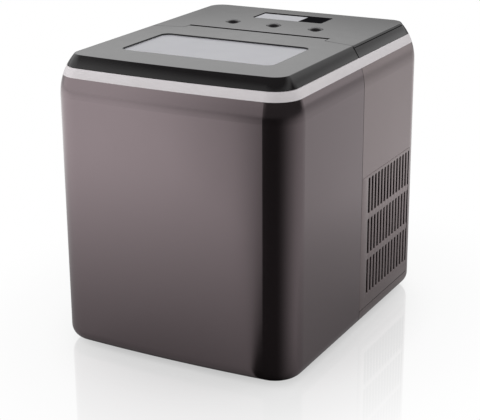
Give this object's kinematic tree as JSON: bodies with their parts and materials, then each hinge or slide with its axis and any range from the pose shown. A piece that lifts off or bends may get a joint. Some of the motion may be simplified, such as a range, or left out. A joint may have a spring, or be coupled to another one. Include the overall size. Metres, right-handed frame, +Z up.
{
  "type": "counter-top ice maker",
  "caption": "Counter-top ice maker: dark rounded casing, light band, black hinged lid with window, control panel with display and push buttons, lift-out basket, tipping tray, fan-cooled works.",
  "frame": {"origin": "middle of the footprint, on the surface that the machine stands on", "axes": "+Z up, the front with the bowed panel faces -Y, the visible vent side faces +X"},
  "size_m": [0.285, 0.358, 0.3286],
  "materials": {
    "body_paint": "satin dark taupe metallic",
    "trim_silver": "satin silver",
    "gloss_black": "polished black",
    "window_pane": "clear, lightly smoked",
    "display_lens": "gloss, lightly smoked",
    "button_black": "satin",
    "liner_plastic": "satin light grey",
    "seal_rubber": "matt",
    "tank_plastic": "satin light grey",
    "foam": "closed-cell foam",
    "basket_plastic": "satin light grey",
    "tray_plastic": "satin",
    "nickel_tube": "nickel plated",
    "copper": "drawn copper",
    "fin_aluminium": "mill finish",
    "inner_sheet": "galvanised",
    "compressor_paint": "black enamel",
    "motor_case": "satin",
    "fan_plastic": "satin black",
    "sensor_black": "gloss",
    "circuit_board": "solder mask",
    "hose_rubber": "milky silicone",
    "foot_rubber": "matt",
    "fastener_steel": "zinc plated",
    "drain_black": "satin black"
  },
  "bodies": {
    "cabinet": {"base_pan": "inner_sheet", "rubber_feet": "foot_rubber", "base_screws": "fastener_steel", "front_shell": "body_paint", "rear_cover": "body_paint", "right_grille": "body_paint", "left_grille": "body_paint", "trim_band": "trim_silver", "top_frame": "gloss_black", "control_panel": "gloss_black", "display_lens": "display_lens", "display_board": "circuit_board", "lid_seal": "seal_rubber", "hinge_pins": "fastener_steel", "inner_tank": "tank_plastic", "foam_insulation": "foam", "ice_chute": "basket_plastic", "evaporator": "nickel_tube", "tray_motor": "motor_case", "ice_sensors": "sensor_black", "bulkhead": "inner_sheet", "power_board": "circuit_board", "compressor": "compressor_paint", "compressor_mounts": "foot_rubber", "mount_bolts": "fastener_steel", "condenser": "fin_aluminium", "fan_shroud": "fan_plastic", "fan_motor": "motor_case", "filter_drier": "copper", "discharge_line": "copper", "liquid_line": "copper", "capillary_tube": "copper", "suction_line": "copper", "water_pump": "motor_case", "suction_hose": "hose_rubber", "fill_hose": "hose_rubber", "cord_gland": "button_black", "drain_port": "drain_black"},
    "lid": {"lid": "gloss_black", "lid_window": "window_pane", "lid_liner": "liner_plastic"},
    "power_button": {"power_button": "button_black"},
    "select_button": {"select_button": "button_black"},
    "start_button": {"start_button": "button_black"},
    "ice_basket": {"ice_basket": "basket_plastic"},
    "water_tray": {"water_tray": "tray_plastic"},
    "fan_rotor": {"fan_rotor": "fan_plastic"},
    "drain_plug": {"drain_plug": "seal_rubber"}
  },
  "joints": [
    {"name": "lid_hinge", "type": "hinge", "parent": "cabinet", "child": "lid", "pos_m": [0, 0.0278, 0.3208], "axis": [-1, 0, 0], "range_deg": [0, 88]},
    {"name": "power_button_press", "type": "slide", "parent": "cabinet", "child": "power_button", "axis": [0, 0, -1], "range_m": [0, 0.0012], "stiffness_N_per_m": 400, "springref_m": -0.001},
    {"name": "select_button_press", "type": "slide", "parent": "cabinet", "child": "select_button", "axis": [0, 0, -1], "range_m": [0, 0.0012], "stiffness_N_per_m": 400, "springref_m": -0.001},
    {"name": "start_button_press", "type": "slide", "parent": "cabinet", "child": "start_button", "axis": [0, 0, -1], "range_m": [0, 0.0012], "stiffness_N_per_m": 400, "springref_m": -0.001},
    {"name": "basket_lift", "type": "slide", "parent": "cabinet", "child": "ice_basket", "axis": [0, 0, 1], "range_m": [0, 0.06]},
    {"name": "tray_tip", "type": "hinge", "parent": "cabinet", "child": "water_tray", "pos_m": [0, -0.036, 0.25], "axis": [1, 0, 0], "range_deg": [0, 52]},
    {"name": "fan_spin", "type": "hinge", "parent": "cabinet", "child": "fan_rotor", "pos_m": [0.09, 0.088, 0.107], "axis": [1, 0, 0], "continuous": true},
    {"name": "drain_plug_pull", "type": "slide", "parent": "cabinet", "child": "drain_plug", "axis": [-1, 0, 0], "range_m": [0, 0.02]}
  ]
}
